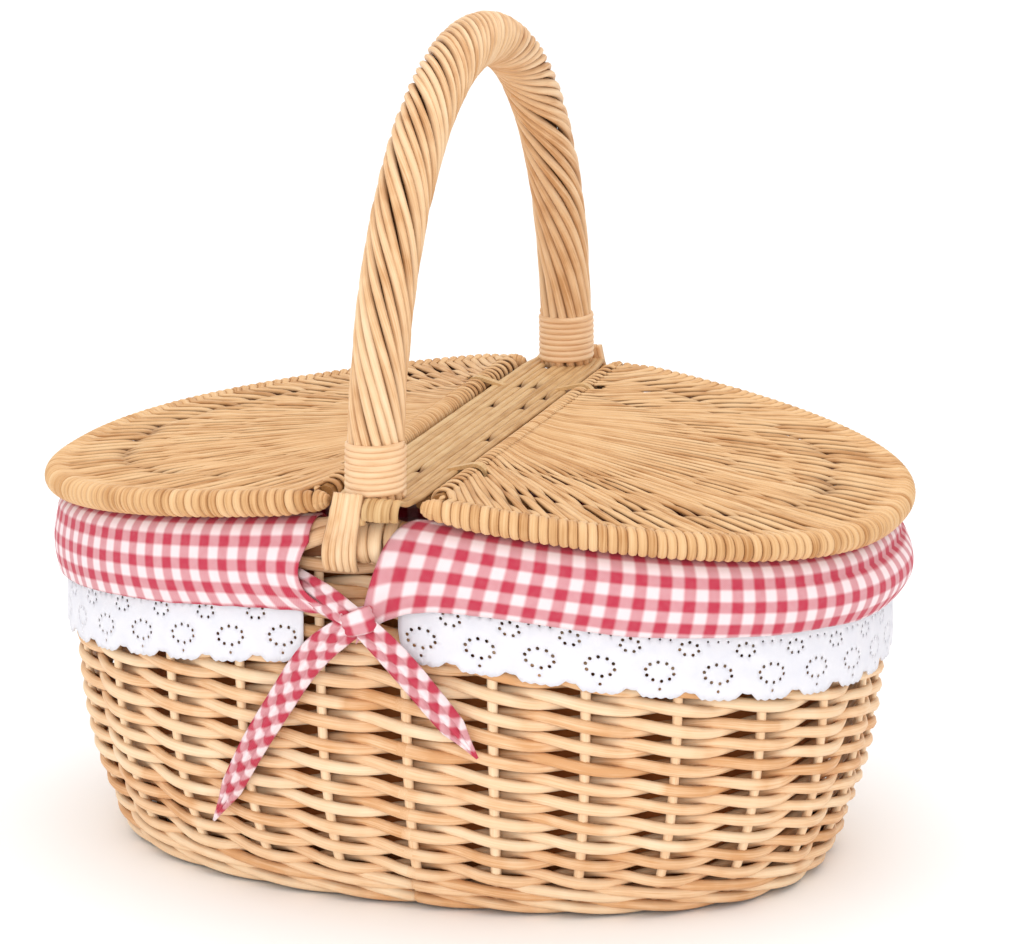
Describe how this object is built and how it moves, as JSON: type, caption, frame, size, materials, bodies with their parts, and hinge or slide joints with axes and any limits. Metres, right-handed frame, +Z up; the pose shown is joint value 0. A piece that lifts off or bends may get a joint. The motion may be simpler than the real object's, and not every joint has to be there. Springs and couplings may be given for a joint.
{
  "type": "lidded picnic basket",
  "caption": "Oval willow pie basket with a fixed hoop handle, hinged half lids and a tied gingham liner with a lace hem",
  "frame": {"origin": "bottom centre: on the floor, under the middle of the basket", "axes": "X along the basket, Y across it with the front at minus Y, Z up"},
  "size_m": [0.3998, 0.316, 0.3804],
  "materials": {
    "peeled_willow": "peeled willow, light honey, satin",
    "shaded_willow": "willow rods seen in the gaps of the weave, darker",
    "pale_cane": "smooth pale willow and cane of the handle",
    "red_gingham": "red and white checked cotton",
    "white_cotton_lace": "white cotton eyelet lace"
  },
  "bodies": {
    "root": {"base_mat": "shaded_willow", "base_wale": "shaded_willow", "bridge_end_back": "pale_cane", "bridge_end_front": "pale_cane", "bridge_rail_left": "shaded_willow", "bridge_rail_right": "shaded_willow", "bridge_weave": "peeled_willow", "handle_binding_back": "pale_cane", "handle_binding_front": "pale_cane", "handle_core": "shaded_willow", "handle_foot_back": "pale_cane", "handle_foot_front": "pale_cane", "handle_wrap": "pale_cane", "hinge_loop_left_back": "pale_cane", "hinge_loop_left_front": "pale_cane", "hinge_loop_right_back": "pale_cane", "hinge_loop_right_front": "pale_cane", "lace_trim_left": "white_cotton_lace", "lace_trim_right": "white_cotton_lace", "liner_bag": "red_gingham", "liner_flap_left": "red_gingham", "liner_flap_right": "red_gingham", "rim_border": "peeled_willow", "side_stakes": "shaded_willow", "side_weave": "peeled_willow", "tie_knot_back": "red_gingham", "tie_knot_front": "red_gingham", "tie_strip_back_left": "red_gingham", "tie_strip_back_right": "red_gingham", "tie_strip_front_left": "red_gingham", "tie_strip_front_right": "red_gingham"},
    "left_lid": {"left_lid_border": "peeled_willow", "left_lid_hinge_bar": "shaded_willow", "left_lid_hinge_wrap_back": "peeled_willow", "left_lid_hinge_wrap_front": "peeled_willow", "left_lid_hinge_wrap_middle": "peeled_willow", "left_lid_hoop": "shaded_willow", "left_lid_panel": "peeled_willow", "left_lid_rib_1": "shaded_willow", "left_lid_rib_2": "shaded_willow", "left_lid_rib_3": "shaded_willow"},
    "right_lid": {"right_lid_border": "peeled_willow", "right_lid_hinge_bar": "shaded_willow", "right_lid_hinge_wrap_back": "peeled_willow", "right_lid_hinge_wrap_front": "peeled_willow", "right_lid_hinge_wrap_middle": "peeled_willow", "right_lid_hoop": "shaded_willow", "right_lid_panel": "peeled_willow", "right_lid_rib_1": "shaded_willow", "right_lid_rib_2": "shaded_willow", "right_lid_rib_3": "shaded_willow"}
  },
  "joints": [
    {"name": "left_lid_hinge", "type": "hinge", "parent": "root", "child": "left_lid", "pos_m": [-0.0258, 0, 0.19039], "axis": [0, 1, 0], "range_deg": [0, 98]},
    {"name": "right_lid_hinge", "type": "hinge", "parent": "root", "child": "right_lid", "pos_m": [0.0258, 0, 0.19039], "axis": [0, -1, 0], "range_deg": [0, 98]}
  ]
}
